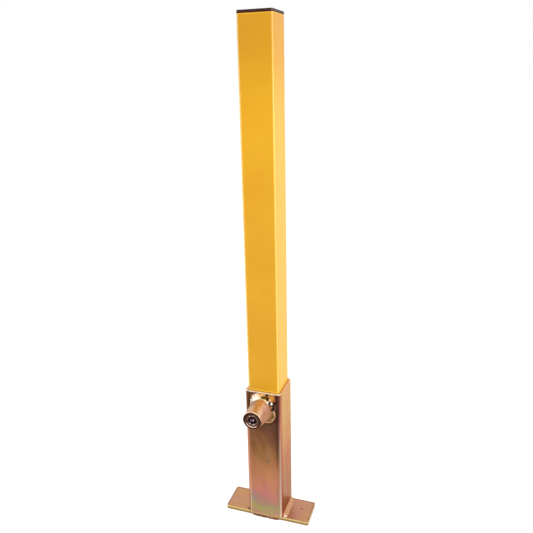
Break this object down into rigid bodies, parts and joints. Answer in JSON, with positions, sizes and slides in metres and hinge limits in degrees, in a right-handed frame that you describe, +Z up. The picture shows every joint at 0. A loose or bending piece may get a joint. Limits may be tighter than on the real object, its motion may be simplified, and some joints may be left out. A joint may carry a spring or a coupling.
{
  "type": "removable bollard",
  "caption": "Square yellow post with a dark plastic cap, standing in a gold-passivated floor socket on a flat foot plate, held by a key-operated bolt in a flared lock housing.",
  "frame": {"origin": "on the ground under the middle of the socket", "axes": "+Z up along the post, -Y out of the socket's front face towards the lock's nose, +X along the foot plate to the right as seen from the lock"},
  "size_m": [0.17, 0.128, 0.93],
  "materials": {
    "yellow_paint": "satin powder coat",
    "passivated_steel": "zinc plated, yellow passivated, iridescent",
    "weld_metal": "plated weld bead, glossy",
    "cap_plastic": "moulded, dark brown black",
    "lock_nickel": "nickel plated, worn",
    "lock_brass": "turned",
    "plain_steel": "turned, oiled"
  },
  "bodies": {
    "base": {"base_plate": "passivated_steel", "socket_tube": "passivated_steel", "foot_weld_left": "weld_metal", "foot_weld_right": "weld_metal", "foot_weld_front": "weld_metal", "foot_weld_back": "weld_metal", "rest_pin": "passivated_steel", "lock_housing": "passivated_steel", "housing_weld": "weld_metal", "lock_barrel": "lock_nickel", "pin_block": "lock_brass", "block_pin": "plain_steel", "driver_pins": "lock_brass", "pin_springs": "plain_steel", "barrel_screw": "plain_steel", "bolt_bush": "lock_brass", "guide_pin": "plain_steel"},
    "post": {"post_tube": "yellow_paint", "post_cap": "cap_plastic"},
    "lock_plug": {"lock_plug": "lock_nickel", "key_pins": "lock_brass", "plug_clip": "plain_steel"},
    "lock_bolt": {"lock_bolt": "plain_steel"}
  },
  "joints": [
    {"name": "post_lift", "type": "slide", "parent": "base", "child": "post", "axis": [0, 0, 1], "range_m": [0, 0.2]},
    {"name": "plug_turn", "type": "hinge", "parent": "base", "child": "lock_plug", "pos_m": [0, -0.0915, 0.2565], "axis": [0, 1, 0], "range_deg": [0, 180]},
    {"name": "bolt_throw", "type": "slide", "parent": "lock_plug", "child": "lock_bolt", "axis": [0, 1, 0], "range_m": [0, 0.012]}
  ],
  "couplings": [
    {"joint": "bolt_throw", "follows": "plug_turn", "m_per_rad": 0.0038197}
  ]
}
